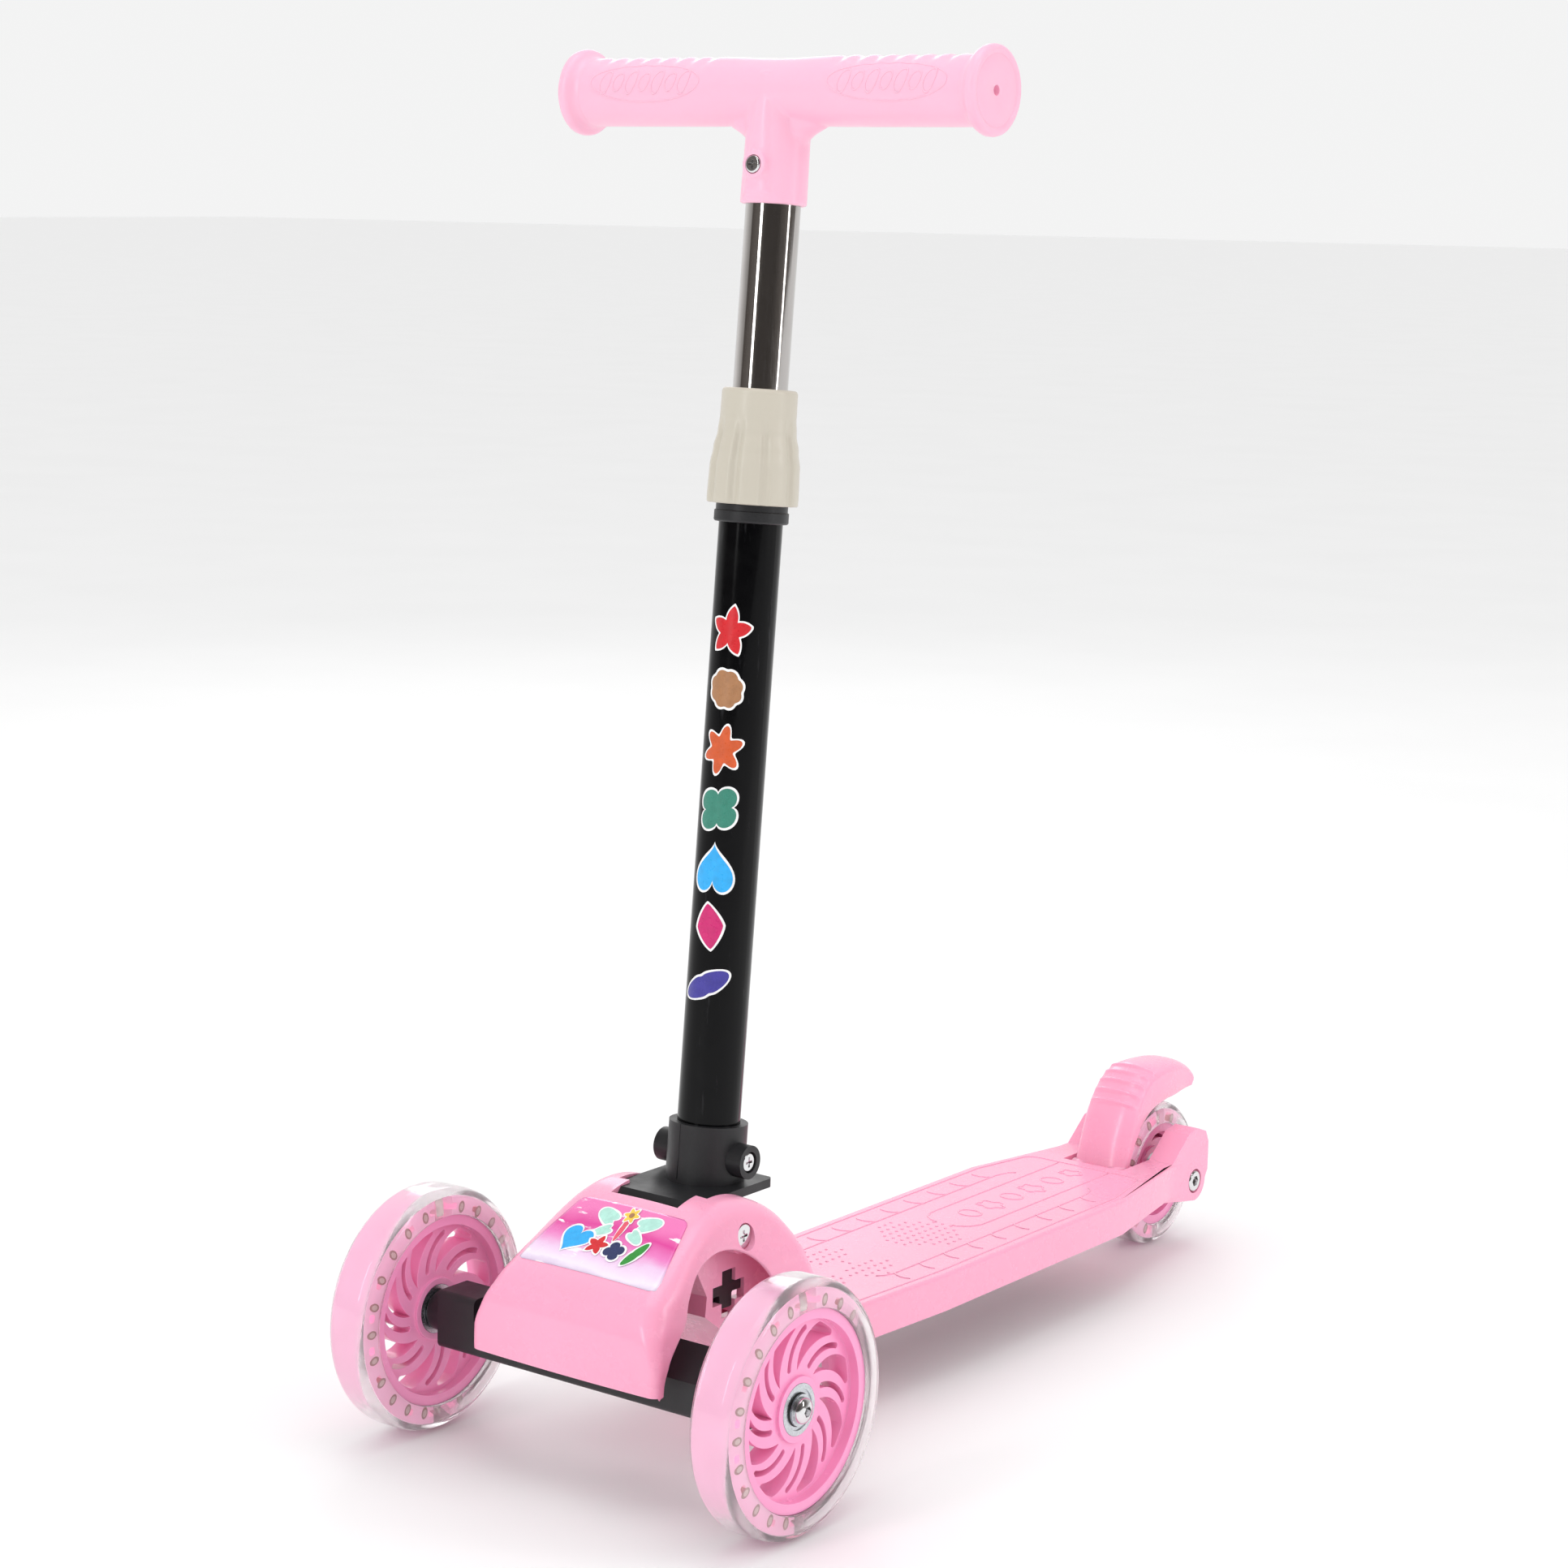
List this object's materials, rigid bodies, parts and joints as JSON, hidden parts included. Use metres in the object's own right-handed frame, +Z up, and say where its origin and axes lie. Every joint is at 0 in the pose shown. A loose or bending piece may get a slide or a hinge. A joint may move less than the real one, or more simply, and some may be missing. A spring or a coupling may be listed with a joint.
{
  "type": "kick scooter",
  "caption": "Child's kick scooter with two leaning front wheels, a rear wheel with foot brake, a narrow deck, a fold-down telescopic stem and a T handlebar.",
  "frame": {"origin": "on the ground under the middle of the scooter's bounding box", "axes": "+X to the rider's left, -Y forward, +Z up"},
  "size_m": [0.22, 0.55, 0.6098],
  "materials": {
    "pink_plastic": "glossy injection-moulded polypropylene, light pink",
    "hub_plastic": "glossy pink moulding",
    "core_plastic": "pink moulding seen through the clear tyre",
    "clear_tyre": "clear flexible polyurethane over a pink core",
    "lamp_clear": "clear lamp block",
    "black_plastic": "satin black glass-filled nylon",
    "black_paint": "gloss black paint on steel tube",
    "chrome": "bright chrome plate",
    "grey_plastic": "warm light grey satin moulding",
    "zinc_steel": "zinc-plated steel",
    "spring_steel": "spring wire",
    "sticker_print": "glossy printed label"
  },
  "bodies": {
    "deck": {"deck": "pink_plastic", "neck": "pink_plastic", "neck_screws": "zinc_steel", "front_housing": "pink_plastic", "front_sticker": "sticker_print", "fold_shaft": "zinc_steel", "fold_screws": "chrome", "kingpin": "zinc_steel", "kingpin_nut": "zinc_steel", "steering_spring": "spring_steel", "latch_spring": "spring_steel", "rear_axle_bolt": "chrome", "rear_axle_nut": "chrome", "rear_axle_spacers": "zinc_steel", "brake_pin": "zinc_steel", "brake_spring": "spring_steel"},
    "stem": {"stem_socket": "black_plastic", "socket_bolt": "chrome", "socket_nut": "chrome", "outer_tube": "black_paint", "tube_ferrule": "black_plastic", "collet": "grey_plastic"},
    "collar": {"lock_collar": "grey_plastic"},
    "handle": {"inner_tube": "chrome", "tube_bottom_plug": "black_plastic", "tube_top_plug": "black_plastic", "handlebar": "pink_plastic", "handlebar_screw": "chrome"},
    "latch": {"fold_latch": "black_plastic"},
    "axle": {"axle_beam": "black_plastic", "beam_bush": "black_plastic", "front_axle_bolts": "chrome", "front_axle_washers": "zinc_steel"},
    "left_wheel": {"left_wheel_tyre": "clear_tyre", "left_wheel_core": "core_plastic", "left_wheel_hub": "hub_plastic", "left_wheel_bearings": "zinc_steel", "left_wheel_bearing_spacer": "zinc_steel", "left_wheel_lamps": "lamp_clear"},
    "right_wheel": {"right_wheel_tyre": "clear_tyre", "right_wheel_core": "core_plastic", "right_wheel_hub": "hub_plastic", "right_wheel_bearings": "zinc_steel", "right_wheel_bearing_spacer": "zinc_steel", "right_wheel_lamps": "lamp_clear"},
    "rear_wheel": {"rear_wheel_tyre": "clear_tyre", "rear_wheel_core": "core_plastic", "rear_wheel_hub": "hub_plastic", "rear_wheel_bearings": "zinc_steel", "rear_wheel_bearing_spacer": "zinc_steel", "rear_wheel_lamps": "lamp_clear"},
    "brake": {"brake_lever": "pink_plastic"}
  },
  "joints": [
    {"name": "stem_fold", "type": "hinge", "parent": "deck", "child": "stem", "pos_m": [0, -0.1695, 0.1035], "axis": [-1, 0, 0], "range_deg": [0, 78]},
    {"name": "collar_twist", "type": "hinge", "parent": "stem", "child": "collar", "pos_m": [0, -0.11995, 0.43683], "axis": [0, 0.0854, 0.9963], "range_deg": [0, 120]},
    {"name": "handle_slide", "type": "slide", "parent": "stem", "child": "handle", "axis": [0, 0.0854, 0.9963], "range_m": [-0.077, 0.041]},
    {"name": "latch_pull", "type": "slide", "parent": "deck", "child": "latch", "axis": [0, 0, -1], "range_m": [0, 0.003], "stiffness_N_per_m": 400, "springref_m": -0.002, "deforming": ["latch_spring"]},
    {"name": "steer", "type": "hinge", "parent": "deck", "child": "axle", "pos_m": [0, -0.212, 0.058], "axis": [0, -0.4226, 0.9063], "range_deg": [-10, 10], "stiffness_Nm_per_rad": 6},
    {"name": "left_wheel_spin", "type": "hinge", "parent": "axle", "child": "left_wheel", "pos_m": [0.099, -0.22, 0.055], "axis": [1, 0, 0], "continuous": true},
    {"name": "right_wheel_spin", "type": "hinge", "parent": "axle", "child": "right_wheel", "pos_m": [-0.099, -0.22, 0.055], "axis": [1, 0, 0], "continuous": true},
    {"name": "rear_wheel_spin", "type": "hinge", "parent": "deck", "child": "rear_wheel", "pos_m": [0, 0.237, 0.038], "axis": [1, 0, 0], "continuous": true},
    {"name": "brake_press", "type": "hinge", "parent": "deck", "child": "brake", "pos_m": [0, 0.192, 0.047], "axis": [-1, 0, 0], "range_deg": [0, 3], "stiffness_Nm_per_rad": 2, "springref_deg": -5.73}
  ]
}
